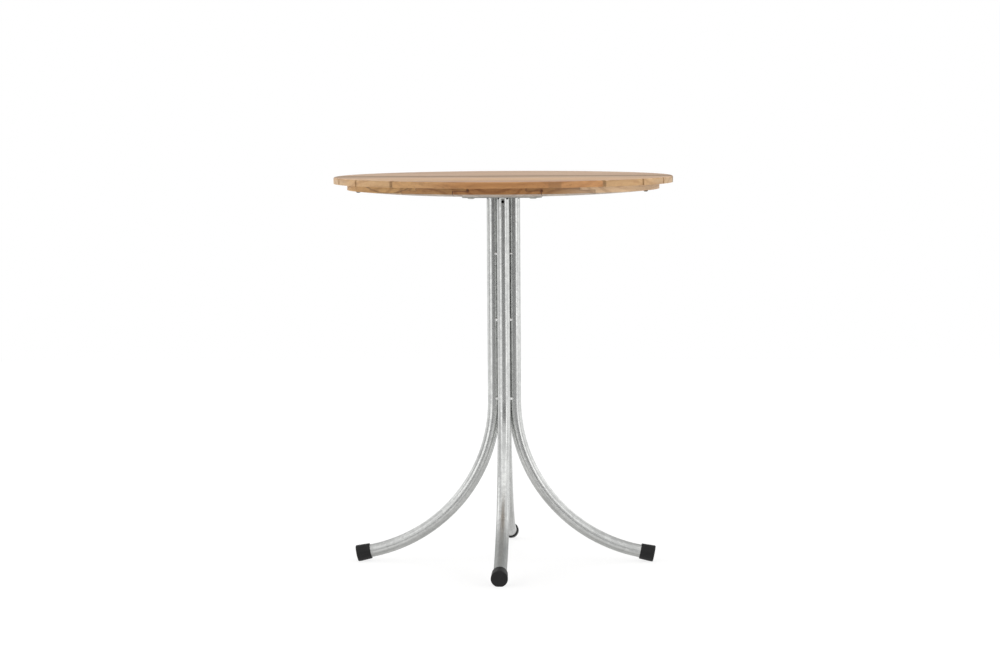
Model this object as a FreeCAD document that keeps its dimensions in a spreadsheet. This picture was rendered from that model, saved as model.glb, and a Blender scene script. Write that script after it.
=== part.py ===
import FreeCAD, Part
import math
import os
import Sketcher

# A round slatted wine table on four bent tubes. Millimetres, +Z up, origin on the floor under the
# middle of the top. The slats run along X, the under-boards along Y, and the legs point along
# +X, +Y, -X and -Y.

SIZES = (
    ("table_height", 746.0, "floor to the top of the slats"),
    ("top_diameter", 650.0, "round top"),
    ("slat_count", 9, "slats across the top"),
    ("slat_gap", 4.2, "between neighbouring slats"),
    ("slat_trim", 6.8, "what the round rim takes off the width of the first and the last slat"),
    ("slat_thickness", 12.0, "slat"),
    ("slat_round", 1.5, "rounding along a slat's long top edges"),
    ("rim_round", 2.5, "rounding round the rim of the top"),
    ("rim_setback", 26.0, "from the rim of the top in to the under-boards"),
    ("board_thickness", 22.0, "under-boards where the plate sits"),
    ("board_rim", 12.0, "under-boards at their rim"),
    ("middle_board", 134.0, "middle under-board, from joint to joint"),
    ("outer_board", 135.0, "outer under-boards, from the joint to the rim"),
    ("joint_lap", 28.0, "width of the lap between two under-boards"),
    ("lap_depth", 6.0, "thickness of the upper lip of a lap"),
    ("joint_gap", 0.5, "open line between two under-boards"),
    ("plate_width", 151.0, "square mounting plate"),
    ("plate_margin", 12.0, "flat of the under-boards past the corners of the mounting plate"),
    ("plate_thickness", 5.0, "mounting plate"),
    ("plate_corner", 6.0, "corner radius of the mounting plate"),
    ("plate_screw_inset", 16.5, "from the mounting plate's edges in to its screws"),
    ("plate_screw_diameter", 6.0, "plate screw shank"),
    ("plate_screw_head", 14.0, "plate screw head across"),
    ("plate_screw_head_height", 2.5, "plate screw head"),
    ("slat_screw_diameter", 4.0, "slat screw shank"),
    ("slat_screw_head", 9.0, "slat screw head across"),
    ("slat_screw_head_height", 3.0, "slat screw head"),
    ("rim_screw_head_height", 4.0, "head of the four screws that stand below the boards"),
    ("slat_screw_inset", 17.0, "from the under-boards' rim in to the ring of slat screws"),
    ("screw_bite", 9.0, "depth that the screws reach into the slats"),
    ("hole_clearance", 0.5, "a clearance hole is this much wider than its screw"),
    ("head_clearance", 1.0, "a counterbore is this much wider than its screw head"),
    ("tube_diameter", 25.0, "outside of a leg tube"),
    ("tube_wall", 2.0, "wall of a leg tube"),
    ("column_radius", 19.7, "from the middle to the axis of each upright tube"),
    ("bend_radius", 298.0, "leg bend, at the tube's axis"),
    ("bend_angle", 78.5, "turn of the leg bend, in degrees"),
    ("foot_straight", 27.2, "straight end of the tube past the bend"),
    ("vent_diameter", 6.0, "vent hole near the top of each tube"),
    ("vent_drop", 9.0, "from the plate down to the middle of the vent hole"),
    ("notch_width", 6.0, "vent notches in the tube's top end"),
    ("notch_depth", 4.5, "vent notches in the tube's top end"),
    ("weld_leg", 3.0, "weld bead between tube and plate"),
    ("weld_arc", 50.0, "length of a weld bead round its tube, in degrees"),
    ("spacer_diameter", 5.0, "spacer rod between two tubes"),
    ("spacer_reach", 19.0, "from the middle of the column to a spacer's axis"),
    ("spacer_rod", 16.0, "spacer rod before it is shaped to the tubes"),
    ("spacer_rise", 6.0, "from the start of the bends up to the lowest spacers"),
    ("spacer_drop", 109.0, "from the plate down to the highest spacers"),
    ("spacer_share", 0.546, "middle spacers, as a share of the way from lowest to highest"),
    ("cap_base", 32.0, "foot cap across at its closed end"),
    ("cap_mouth", 30.0, "foot cap across at its open end"),
    ("cap_length", 27.5, "foot cap"),
    ("cap_end", 3.5, "closed end of a foot cap"),
    ("cap_round", 2.0, "rounding of a foot cap's closed end"),
    ("foot_flat", 1.0, "depth of the flat that a foot cap stands on"),
    ("cutter_margin", 10.0, "how far a cutting shape reaches past what it cuts"),
)

doc = FreeCAD.newDocument("WineTable")
sheet = doc.addObject("Spreadsheet::Sheet", "Sizes")
for row, (alias, value, note) in enumerate(SIZES, start=1):
    sheet.set(f"A{row}", note)
    sheet.set(f"B{row}", str(value))
    sheet.setAlias(f"B{row}", alias)
doc.recompute()

# Heights and widths that several pieces share, as expressions on the sheet.
TOP = "Sizes.table_height"
SLAT_UNDERSIDE = "(Sizes.table_height - Sizes.slat_thickness)"
BOARD_UNDERSIDE = f"({SLAT_UNDERSIDE} - Sizes.board_thickness)"
PLATE_UNDERSIDE = f"({BOARD_UNDERSIDE} - Sizes.plate_thickness)"
TOP_RADIUS = "(Sizes.top_diameter / 2)"
BOARD_RADIUS = f"({TOP_RADIUS} - Sizes.rim_setback)"
INNER_JOINT = "(Sizes.middle_board / 2)"
OUTER_JOINT = f"({BOARD_RADIUS} - Sizes.outer_board)"
SLAT_COUNT = "round(Sizes.slat_count)"
SLAT_SPREAD = "(Sizes.top_diameter + 2 * Sizes.slat_trim)"
SLAT_WIDTH = f"(({SLAT_SPREAD} - ({SLAT_COUNT} - 1) * Sizes.slat_gap) / {SLAT_COUNT})"
SLAT_PITCH = f"({SLAT_WIDTH} + Sizes.slat_gap)"
SEAT_RADIUS = "(Sizes.plate_width / sqrt(2) + Sizes.plate_margin)"
PLATE_SCREW_REACH = "(Sizes.plate_width / 2 - Sizes.plate_screw_inset)"
RIM_UNDERSIDE = f"({SLAT_UNDERSIDE} - Sizes.board_rim)"
SCREW_SEAT = f"({RIM_UNDERSIDE} + Sizes.slat_screw_head_height)"
TUBE_RADIUS = "(Sizes.tube_diameter / 2)"
CAP_RADIUS = "(Sizes.cap_base / 2)"

# The closed end of a cap slopes with the leg. Its rounded lower edge would reach foot_flat below the
# floor, and the flat that it stands on is cut there.
CAP_END_HEIGHT = (
    f"(({CAP_RADIUS} - Sizes.cap_round) * sin(Sizes.bend_angle)"
    " - Sizes.cap_round * cos(Sizes.bend_angle) + Sizes.cap_round - Sizes.foot_flat)"
)
BEND_HEIGHT = (
    f"({CAP_END_HEIGHT} + Sizes.bend_radius * sin(Sizes.bend_angle)"
    " + (Sizes.foot_straight + Sizes.cap_end) * cos(Sizes.bend_angle))"
)
BEND_END_REACH = "(Sizes.column_radius + Sizes.bend_radius * (1 - cos(Sizes.bend_angle)))"
BEND_END_HEIGHT = f"({BEND_HEIGHT} - Sizes.bend_radius * sin(Sizes.bend_angle))"

# The spacers stand on the straight part of the column, wherever it begins and ends.
SPACER_LOW = f"({BEND_HEIGHT} + Sizes.spacer_rise)"
SPACER_HIGH = f"({PLATE_UNDERSIDE} - Sizes.spacer_drop)"
SPACER_MIDDLE = f"({SPACER_LOW} + ({SPACER_HIGH} - {SPACER_LOW}) * Sizes.spacer_share)"

FULL_TURN = 360
QUARTERS = (("right", 0), ("back", 90), ("left", 180), ("front", 270))
HALF_QUARTER = 45

# A screw head has an upright edge, a third of its height, and a flat crown, two thirds of its width.
HEAD_EDGE_SHARE = "1 / 3"
HEAD_CROWN_SHARE = "2 / 3"


def measure(expression):
    """The expression's value as a plain number of millimetres or degrees."""
    value = sheet.evalExpression(expression)
    return float(getattr(value, "Value", value))


def plane(body, role):
    """The origin plane or axis of a body that has this role."""
    return next(item for item in body.Origin.OriginFeatures if item.Role == role)


def new_sketch(body, name, role, offset=None, turn=None):
    """A sketch on an origin plane of its body, moved and turned about its normal by expressions."""
    sketch = body.newObject("Sketcher::SketchObject", name)
    sketch.AttachmentSupport = (plane(body, role), [""])
    sketch.MapMode = "FlatFace"
    for axis, expression in (offset or {}).items():
        sketch.setExpression(f"AttachmentOffset.Base.{axis}", expression)
    if turn is not None:
        sketch.setExpression("AttachmentOffset.Rotation.Angle", turn)
    return sketch


def bind(sketch, constraint, expression):
    """Add a dimension to a sketch and drive it by an expression."""
    index = sketch.addConstraint(constraint)
    sketch.setExpression(f"Constraints[{index}]", expression)


def fix_point(sketch, geometry, end, corner):
    """Hold one point of a sketch at a pair of expressions, with a plain 0 meaning on the axis."""
    here = [measure(expression) for expression in corner]
    for kind, axis, expression, distance in zip(("DistanceX", "DistanceY"), (-2, -1), corner, here):
        if expression == "0":
            sketch.addConstraint(Sketcher.Constraint("PointOnObject", geometry, end, axis))
        else:
            bind(sketch, Sketcher.Constraint(kind, -1, 1, geometry, end, distance), expression)


def draw_chain(sketch, corners, arcs=None, closed=True):
    """Lines through the corners, given as expressions. arcs maps the number of a stretch to the
    centre of its arc and to whether the arc runs counter-clockwise."""
    arcs = arcs or {}
    flat = [FreeCAD.Vector(measure(x), measure(y), 0) for x, y in corners]
    normal = FreeCAD.Vector(0, 0, 1)
    ends = []
    for number in range(len(corners) if closed else len(corners) - 1):
        start = flat[number]
        stop = flat[(number + 1) % len(flat)]
        if number not in arcs:
            index = sketch.addGeometry(Part.LineSegment(start, stop))
            ends.append((index, 1, 2))
            continue
        centre_x, centre_y, forward = arcs[number]
        centre = FreeCAD.Vector(measure(centre_x), measure(centre_y), 0)
        first, last = (start, stop) if forward else (stop, start)
        angles = [math.atan2(point.y - centre.y, point.x - centre.x) for point in (first, last)]
        circle = Part.Circle(centre, normal, (start - centre).Length)
        index = sketch.addGeometry(Part.ArcOfCircle(circle, angles[0], angles[1]))
        ends.append((index, 1, 2) if forward else (index, 2, 1))
        bind(sketch, Sketcher.Constraint("DistanceX", -1, 1, index, 3, centre.x), centre_x)
    for number, (index, start, stop) in enumerate(ends):
        fix_point(sketch, index, start, corners[number])
        if number + 1 < len(ends):
            following, following_start, _ = ends[number + 1]
            sketch.addConstraint(
                Sketcher.Constraint("Coincident", index, stop, following, following_start)
            )
    index, _, stop = ends[-1]
    if closed:
        sketch.addConstraint(Sketcher.Constraint("Coincident", index, stop, ends[0][0], ends[0][1]))
    else:
        fix_point(sketch, index, stop, corners[-1])


def draw_circle(sketch, centre, radius):
    """A circle whose centre and radius are expressions."""
    middle = FreeCAD.Vector(measure(centre[0]), measure(centre[1]), 0)
    circle = Part.Circle(middle, FreeCAD.Vector(0, 0, 1), measure(radius))
    index = sketch.addGeometry(circle)
    fix_point(sketch, index, 3, centre)
    bind(sketch, Sketcher.Constraint("Radius", index, measure(radius)), radius)


def pad(body, sketch, length):
    """A pad of this length, half to each side of its sketch."""
    feature = body.newObject("PartDesign::Pad", "Pad")
    feature.Profile = sketch
    feature.Midplane = True
    feature.setExpression("Length", length)
    return feature


def spin(body, kind, sketch, angle=None):
    """A revolution or groove of a sketch about the sketch's own vertical axis."""
    feature = body.newObject(f"PartDesign::{kind}", kind)
    feature.Profile = sketch
    feature.ReferenceAxis = (sketch, ["V_Axis"])
    feature.Angle = FULL_TURN
    if angle is not None:
        feature.Midplane = True
        feature.setExpression("Angle", angle)
    return feature


def pocket(body, sketch, length, reversed_way=False):
    """A pocket that has to take material away."""
    before = body.Shape.Volume
    feature = body.newObject("PartDesign::Pocket", "Pocket")
    feature.Profile = sketch
    feature.Reversed = reversed_way
    feature.setExpression("Length", length)
    doc.recompute()
    if body.Shape.Volume >= before:
        raise RuntimeError(f"{body.Label}: {sketch.Label} cuts nothing")
    return feature


def quarter_pattern(body, feature):
    """Repeat a feature at the four legs, round the middle of the table."""
    pattern = body.newObject("PartDesign::PolarPattern", "Quarters")
    pattern.Originals = [feature]
    pattern.Axis = (plane(body, "Z_Axis"), [""])
    pattern.Angle = FULL_TURN
    pattern.Occurrences = len(QUARTERS)
    body.Tip = pattern
    return pattern


def new_body(label):
    body = doc.addObject("PartDesign::Body", label)
    body.Label = label
    body.AllowCompound = True
    return body


def cut(label, base, tools):
    """One piece less the tools."""
    result = base
    for number, tool in enumerate(tools, start=1):
        step = doc.addObject("Part::Cut", f"{label}_cut")
        step.Base = result
        step.Tool = tool
        step.Refine = True
        result = step
        result.Label = label if number == len(tools) else f"{label}_step_{number}"
    return result


def compound(label, items):
    group = doc.addObject("Part::Compound", label)
    group.Links = items
    group.Label = label
    return group


def slat_blank(number):
    """A slat cut to the circle of the top, before its screw holes."""
    body = new_body(f"slat_{number}_blank")
    middle = f"({number} - ({SLAT_COUNT} + 1) / 2) * {SLAT_PITCH}"
    near = f"({middle} - {SLAT_WIDTH} / 2)"
    far = f"({middle} + {SLAT_WIDTH} / 2)"
    shoulder = f"({TOP} - Sizes.slat_round)"
    near_flat = f"({near} + Sizes.slat_round)"
    far_flat = f"({far} - Sizes.slat_round)"
    section = new_sketch(body, "Section", "YZ_Plane")
    draw_chain(
        section,
        ((near, SLAT_UNDERSIDE), (far, SLAT_UNDERSIDE), (far, shoulder), (far_flat, TOP),
         (near_flat, TOP), (near, shoulder)),
        {2: (far_flat, shoulder, True), 4: (near_flat, shoulder, True)},
    )
    length = "(Sizes.top_diameter + 2 * Sizes.cutter_margin)"
    pad(body, section, length)
    outside = length
    above = f"({TOP} + Sizes.cutter_margin)"
    below = f"({SLAT_UNDERSIDE} - Sizes.cutter_margin)"
    crown = f"({TOP_RADIUS} - Sizes.rim_round)"
    rim = new_sketch(body, "Rim", "XZ_Plane")
    draw_chain(
        rim,
        ((crown, TOP), (TOP_RADIUS, f"({TOP} - Sizes.rim_round)"), (TOP_RADIUS, below),
         (outside, below), (outside, above), (crown, above)),
        {0: (crown, f"({TOP} - Sizes.rim_round)", False)},
    )
    spin(body, "Groove", rim)
    return body


def board_blank(label, side, inner, outer):
    """An under-board between two joints, before its screw holes. side is 1 or -1, and 0 for the
    middle board. Each lap has its lower lip on the board that is nearer the middle."""
    body = new_body(f"{label}_blank")
    step = f"({SLAT_UNDERSIDE} - Sizes.lap_depth)"
    half_gap = "Sizes.joint_gap / 2"
    half_lap = "Sizes.joint_lap / 2"
    sign = side or 1
    beyond = f"({BOARD_RADIUS} + Sizes.cutter_margin)"
    outer_top = f"({outer} - {half_lap} - {half_gap})" if outer else beyond
    outer_low = f"({outer} + {half_lap} - {half_gap})" if outer else beyond
    section = new_sketch(body, "Section", "XZ_Plane")
    if side:
        inner_top = f"({inner} - {half_lap} + {half_gap})"
        inner_low = f"({inner} + {half_lap} + {half_gap})"
    else:
        inner_top = f"(-1 * {outer_top})"
        inner_low = f"(-1 * {outer_low})"
    corners = [(inner_low, step), (inner_top, step), (inner_top, SLAT_UNDERSIDE),
               (outer_top, SLAT_UNDERSIDE)]
    if outer:
        corners += [(outer_top, step), (outer_low, step)]
    corners += [(outer_low, BOARD_UNDERSIDE), (inner_low, BOARD_UNDERSIDE)]
    draw_chain(section, [(f"{sign} * {x}", z) for x, z in corners])
    length = f"(2 * {beyond})"
    pad(body, section, length)

    # The underside is flat where the plate sits and is rounded up to a thin rim from there.
    outside = length
    above = f"({SLAT_UNDERSIDE} + Sizes.cutter_margin)"
    below = f"({BOARD_UNDERSIDE} - Sizes.cutter_margin)"
    rise = f"({RIM_UNDERSIDE} - {BOARD_UNDERSIDE})"
    run = f"({BOARD_RADIUS} - {SEAT_RADIUS})"
    centre_height = f"({BOARD_UNDERSIDE} + ({run}^2 + {rise}^2) / (2 * {rise}))"
    crown = new_sketch(body, "Crown", "XZ_Plane")
    draw_chain(
        crown,
        ((SEAT_RADIUS, BOARD_UNDERSIDE), (BOARD_RADIUS, RIM_UNDERSIDE), (BOARD_RADIUS, above),
         (outside, above), (outside, below), (SEAT_RADIUS, below)),
        {0: (SEAT_RADIUS, centre_height, True)},
    )
    spin(body, "Groove", crown)
    return body


def screw(label, seat, head, head_height, shank, length):
    """A round-head screw that points up, its head below the seat."""
    body = new_body(label)
    edge = f"({seat} - {head_height} * {HEAD_EDGE_SHARE})"
    crown = f"({seat} - {head_height})"
    crown_reach = f"({head} / 2 * {HEAD_CROWN_SHARE})"
    outline = new_sketch(body, "Outline", "XZ_Plane")
    draw_chain(
        outline,
        (("0", crown), (crown_reach, crown), (f"{head} / 2", edge), (f"{head} / 2", seat),
         (f"{shank} / 2", seat), (f"{shank} / 2", f"({seat} + {length})"),
         ("0", f"({seat} + {length})")),
    )
    spin(body, "Revolution", outline)
    return body


def slat_screw_points():
    """Where the slat screws stand: near both ends of every slat, and in the laps. The end screws
    of the slats beside the middle one come apart, because their heads stand proud."""
    count = round(measure(SLAT_COUNT))
    pitch = measure(SLAT_PITCH)
    ring = measure(f"{BOARD_RADIUS} - Sizes.slat_screw_inset")
    inner_lap = measure(INNER_JOINT)
    outer_lap = measure(OUTER_JOINT)
    outer_edge = measure(f"{SLAT_SPREAD} / 2 - {SLAT_WIDTH}")
    lap_room = measure("Sizes.joint_lap")
    sunk = []
    proud = []
    for number in range(count):
        steps = number - (count - 1) / 2
        across = steps * pitch
        if number in (0, count - 1):
            across = math.copysign((outer_edge + ring) / 2, across)
            along = inner_lap
        else:
            along = math.sqrt(ring ** 2 - across ** 2)
        ends = proud if 0 < abs(steps) <= 1 else sunk
        ends += [(side * along, across) for side in (1, -1)]
        if along > outer_lap + lap_room:
            sunk += [(side * outer_lap, across) for side in (1, -1)]
    return sunk, proud


def copies(label, solids):
    """A group of separate solids in one piece."""
    group = doc.addObject("Part::Feature", label)
    group.Label = label
    group.Shape = Part.makeCompound(solids)
    group.Placement = FreeCAD.Placement()
    return group


def at_points(shape, points):
    return [shape.translated(FreeCAD.Vector(x, y, 0)) for x, y in points]


def cylinder(label, radius, height, base, turn=None):
    """A cylinder whose sizes and place are expressions."""
    rod = doc.addObject("Part::Cylinder", label)
    rod.Label = label
    rod.Placement = FreeCAD.Placement(FreeCAD.Vector(), turn or FreeCAD.Rotation())
    rod.setExpression("Radius", radius)
    rod.setExpression("Height", height)
    for axis, expression in zip("xyz", base):
        rod.setExpression(f"Placement.Base.{axis}", expression)
    return rod


def turn_to(body, quarter):
    """Turn a piece that is drawn along +X to its quarter of the table."""
    upright = FreeCAD.Vector(0, 0, 1)
    body.Placement = FreeCAD.Placement(FreeCAD.Vector(), FreeCAD.Rotation(upright, quarter))


def leg(label, quarter):
    """A bent tube from the plate to its foot, drawn along +X and turned to its quarter."""
    body = new_body(label)
    path = new_sketch(body, "Path", "XZ_Plane")
    tube_end = (
        f"({BEND_END_REACH} + Sizes.foot_straight * sin(Sizes.bend_angle))",
        f"({BEND_END_HEIGHT} - Sizes.foot_straight * cos(Sizes.bend_angle))",
    )
    draw_chain(
        path,
        (("Sizes.column_radius", PLATE_UNDERSIDE), ("Sizes.column_radius", BEND_HEIGHT),
         (BEND_END_REACH, BEND_END_HEIGHT), tube_end),
        {1: ("(Sizes.column_radius + Sizes.bend_radius)", BEND_HEIGHT, True)},
        closed=False,
    )
    ring = new_sketch(body, "Ring", "XY_Plane", {"z": PLATE_UNDERSIDE})
    draw_circle(ring, ("Sizes.column_radius", "0"), TUBE_RADIUS)
    draw_circle(ring, ("Sizes.column_radius", "0"), f"({TUBE_RADIUS} - Sizes.tube_wall)")
    tube = body.newObject("PartDesign::AdditivePipe", "Tube")
    tube.Profile = ring
    tube.Spine = (path, ["Edge1", "Edge2", "Edge3"])
    doc.recompute()
    vent = new_sketch(body, "Vent", "YZ_Plane", {"z": "Sizes.column_radius"})
    draw_circle(vent, ("0", f"({PLATE_UNDERSIDE} - Sizes.vent_drop)"), "Sizes.vent_diameter / 2")
    pocket(body, vent, "Sizes.tube_diameter", reversed_way=True)
    notch_reach = "(Sizes.tube_diameter / 2 + Sizes.cutter_margin)"
    half_width = "(Sizes.notch_width / 2)"
    for turn in (HALF_QUARTER, -HALF_QUARTER):
        place = {"x": "Sizes.column_radius", "z": PLATE_UNDERSIDE}
        notch = new_sketch(body, "Notch", "XY_Plane", place, str(turn))
        draw_chain(
            notch,
            (("0", f"-1 * {half_width}"), (notch_reach, f"-1 * {half_width}"),
             (notch_reach, half_width), ("0", half_width)),
        )
        pocket(body, notch, "Sizes.notch_depth")
    turn_to(body, quarter)
    return body


def foot_cap(label, quarter, floor):
    """A rubber cap on the end of a leg, with the flat that it stands on."""
    body = new_body(f"{label}_blank")
    bore = TUBE_RADIUS
    mouth = "(Sizes.cap_mouth / 2)"
    shoulder = f"({CAP_RADIUS} - Sizes.cap_round)"
    reach = f"{BEND_END_REACH} + (Sizes.foot_straight + Sizes.cap_end) * sin(Sizes.bend_angle)"
    place = {"x": reach, "y": CAP_END_HEIGHT}
    outline = new_sketch(body, "Outline", "XZ_Plane", place, "Sizes.bend_angle")
    draw_chain(
        outline,
        (("0", "0"), (shoulder, "0"), (CAP_RADIUS, "Sizes.cap_round"), (mouth, "Sizes.cap_length"),
         (bore, "Sizes.cap_length"), (bore, "Sizes.cap_end"), ("0", "Sizes.cap_end")),
        {1: (shoulder, "Sizes.cap_round", True)},
    )
    spin(body, "Revolution", outline)
    turn_to(body, quarter)
    return cut(label, body, [floor])


def floor_cutter():
    """A block under the floor that gives each cap its flat."""
    block = doc.addObject("Part::Box", "floor_cutter")
    width = "(Sizes.top_diameter + 2 * Sizes.cutter_margin)"
    block.setExpression("Length", width)
    block.setExpression("Width", width)
    block.setExpression("Height", "Sizes.cutter_margin")
    block.setExpression("Placement.Base.x", f"-1 * {width} / 2")
    block.setExpression("Placement.Base.y", f"-1 * {width} / 2")
    block.setExpression("Placement.Base.z", "-1 * Sizes.cutter_margin")
    return block


def mounting_plate():
    body = new_body("mounting_plate")
    half = "(Sizes.plate_width / 2)"
    square = new_sketch(body, "Square", "XY_Plane", {"z": PLATE_UNDERSIDE})
    draw_chain(
        square,
        ((f"-1 * {half}", f"-1 * {half}"), (half, f"-1 * {half}"), (half, half),
         (f"-1 * {half}", half)),
    )
    slab = pad(body, square, "Sizes.plate_thickness")
    slab.Midplane = False
    doc.recompute()
    corners = body.newObject("PartDesign::Fillet", "Corners")
    upright = [
        f"Edge{number}" for number, edge in enumerate(slab.Shape.Edges, start=1)
        if abs(edge.tangentAt(edge.FirstParameter).z) > 0.5
    ]
    corners.Base = (slab, upright)
    corners.setExpression("Radius", "Sizes.plate_corner")
    hole = new_sketch(body, "Hole", "XY_Plane", {"z": BOARD_UNDERSIDE})
    width = "(Sizes.plate_screw_diameter + Sizes.hole_clearance)"
    draw_circle(hole, (PLATE_SCREW_REACH, PLATE_SCREW_REACH), f"{width} / 2")
    doc.recompute()
    quarter_pattern(body, pocket(body, hole, "Sizes.plate_thickness"))
    return body


def plate_welds():
    """Weld beads on the outer side of each tube, in the corner under the plate."""
    body = new_body("plate_welds")
    bead = new_sketch(body, "Bead", "XZ_Plane", {"x": "Sizes.column_radius"})
    draw_chain(
        bead,
        ((TUBE_RADIUS, f"({PLATE_UNDERSIDE} - Sizes.weld_leg)"),
         (f"({TUBE_RADIUS} + Sizes.weld_leg)", PLATE_UNDERSIDE), (TUBE_RADIUS, PLATE_UNDERSIDE)),
        {0: (TUBE_RADIUS, PLATE_UNDERSIDE, True)},
    )
    quarter_pattern(body, spin(body, "Revolution", bead, "Sizes.weld_arc"))
    return body


def column_envelope():
    """The space that the four upright tubes fill, to shape the spacers to them."""
    tubes = []
    for name, quarter in QUARTERS:
        base = (
            f"Sizes.column_radius * cos({quarter})",
            f"Sizes.column_radius * sin({quarter})",
            f"{BEND_HEIGHT} - Sizes.cutter_margin",
        )
        height = f"{PLATE_UNDERSIDE} - {BEND_HEIGHT} + Sizes.cutter_margin"
        tubes.append(cylinder(f"column_{name}", TUBE_RADIUS, height, base))
    return compound("column_envelope", tubes)


def spacer_ring(label, height, envelope):
    """Four short rods at one height, each welded between two neighbouring tubes."""
    rods = []
    for name, quarter in QUARTERS:
        angle = quarter + HALF_QUARTER
        upright_to_tangent = FreeCAD.Rotation(
            FreeCAD.Vector(0, 0, 1),
            FreeCAD.Vector(-math.sin(math.radians(angle)), math.cos(math.radians(angle)), 0),
        )
        base = (
            f"Sizes.spacer_reach * cos({angle}) + Sizes.spacer_rod / 2 * sin({angle})",
            f"Sizes.spacer_reach * sin({angle}) - Sizes.spacer_rod / 2 * cos({angle})",
            height,
        )
        rods.append(cylinder(
            f"{label}_{name}", "Sizes.spacer_diameter / 2", "Sizes.spacer_rod", base, upright_to_tangent
        ))
    return cut(label, compound(f"{label}_rods", rods), [envelope])


def build():
    slat_screw = screw(
        "slat_screw", SCREW_SEAT, "Sizes.slat_screw_head", "Sizes.slat_screw_head_height",
        "Sizes.slat_screw_diameter", f"({SLAT_UNDERSIDE} - {SCREW_SEAT} + Sizes.screw_bite)",
    )
    rim_screw = screw(
        "rim_screw", RIM_UNDERSIDE, "Sizes.slat_screw_head", "Sizes.rim_screw_head_height",
        "Sizes.slat_screw_diameter", "(Sizes.board_rim + Sizes.screw_bite)",
    )
    plate_screw = screw(
        "plate_screw", PLATE_UNDERSIDE, "Sizes.plate_screw_head", "Sizes.plate_screw_head_height",
        "Sizes.plate_screw_diameter",
        "(Sizes.plate_thickness + Sizes.board_thickness + Sizes.screw_bite)",
    )
    counterbores = [
        cylinder(
            f"{name}_counterbore", "(Sizes.slat_screw_head + Sizes.head_clearance) / 2",
            f"{seat} - {BOARD_UNDERSIDE} + Sizes.cutter_margin",
            ("0", "0", f"{BOARD_UNDERSIDE} - Sizes.cutter_margin"),
        )
        for name, seat in (("slat_screw", SCREW_SEAT), ("rim_screw", RIM_UNDERSIDE))
    ]
    slat_clearance = cylinder(
        "slat_screw_clearance", "(Sizes.slat_screw_diameter + Sizes.hole_clearance) / 2",
        f"{SLAT_UNDERSIDE} - {BOARD_UNDERSIDE}", ("0", "0", BOARD_UNDERSIDE),
    )
    plate_clearance = cylinder(
        "plate_screw_clearance", "(Sizes.plate_screw_diameter + Sizes.hole_clearance) / 2",
        f"{SLAT_UNDERSIDE} - {BOARD_UNDERSIDE}", ("0", "0", BOARD_UNDERSIDE),
    )
    doc.recompute()

    reach = measure(PLATE_SCREW_REACH)
    plate_points = [(x, y) for x in (reach, -reach) for y in (reach, -reach)]
    sunk_points, proud_points = slat_screw_points()
    slat_screws = copies("slat_screws", at_points(slat_screw.Shape, sunk_points))
    rim_screws = copies("rim_screws", at_points(rim_screw.Shape, proud_points))
    plate_screws = copies("plate_screws", at_points(plate_screw.Shape, plate_points))
    sunk_hole, proud_hole = (bore.Shape.fuse(slat_clearance.Shape) for bore in counterbores)
    board_holes = copies(
        "board_holes",
        at_points(sunk_hole, sunk_points) + at_points(proud_hole, proud_points)
        + at_points(plate_clearance.Shape, plate_points),
    )

    screws = [slat_screws, rim_screws, plate_screws]
    pieces = list(screws)
    for number in range(1, round(measure(SLAT_COUNT)) + 1):
        pieces.append(cut(f"slat_{number}", slat_blank(number), screws))
    for label, side, inner, outer in (
        ("under_board_left", -1, OUTER_JOINT, None),
        ("under_board_left_inner", -1, INNER_JOINT, OUTER_JOINT),
        ("under_board_middle", 0, None, INNER_JOINT),
        ("under_board_right_inner", 1, INNER_JOINT, OUTER_JOINT),
        ("under_board_right", 1, OUTER_JOINT, None),
    ):
        pieces.append(cut(label, board_blank(label, side, inner, outer), [board_holes]))
    pieces.append(mounting_plate())
    pieces.append(plate_welds())
    envelope = column_envelope()
    for level, height in (("low", SPACER_LOW), ("middle", SPACER_MIDDLE), ("high", SPACER_HIGH)):
        pieces.append(spacer_ring(f"spacers_{level}", height, envelope))
    floor = floor_cutter()
    for name, quarter in QUARTERS:
        pieces.append(leg(f"leg_{name}", quarter))
        pieces.append(foot_cap(f"foot_cap_{name}", quarter, floor))
    return pieces


def check(pieces):
    """Stop if any object failed or a piece has no sound solid."""
    failed = [item.Label for item in doc.Objects if {"Invalid", "Error"} & set(item.State)]
    if failed:
        raise RuntimeError(f"failed: {failed}")
    for piece in pieces:
        shape = piece.Shape
        if shape.isNull() or not shape.isValid() or not shape.Solids:
            raise RuntimeError(f"{piece.Label} has no sound solid")


pieces = build()
doc.recompute()
check(pieces)
os.makedirs("parts", exist_ok=True)
for piece in pieces:
    piece.Shape.exportStep(os.path.join("parts", f"{piece.Label}.step"))
    print(piece.Label, len(piece.Shape.Solids), round(piece.Shape.Volume / 1000, 2), "cm3")
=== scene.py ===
import math

import bmesh
import bpy
from mathutils import Matrix, Vector, noise


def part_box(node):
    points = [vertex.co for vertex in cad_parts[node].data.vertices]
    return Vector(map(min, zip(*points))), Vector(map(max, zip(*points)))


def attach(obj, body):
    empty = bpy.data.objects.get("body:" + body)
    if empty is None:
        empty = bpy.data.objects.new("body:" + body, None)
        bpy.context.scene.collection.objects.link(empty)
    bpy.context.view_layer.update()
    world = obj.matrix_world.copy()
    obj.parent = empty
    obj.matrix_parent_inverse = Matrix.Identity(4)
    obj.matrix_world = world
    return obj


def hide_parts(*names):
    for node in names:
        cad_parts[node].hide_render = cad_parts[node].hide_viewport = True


# A round slatted wine table on four bent tubes, in metres, +Z up. The slats run along X, the
# under-boards along Y, and the photograph is taken from the -Y side.

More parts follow.
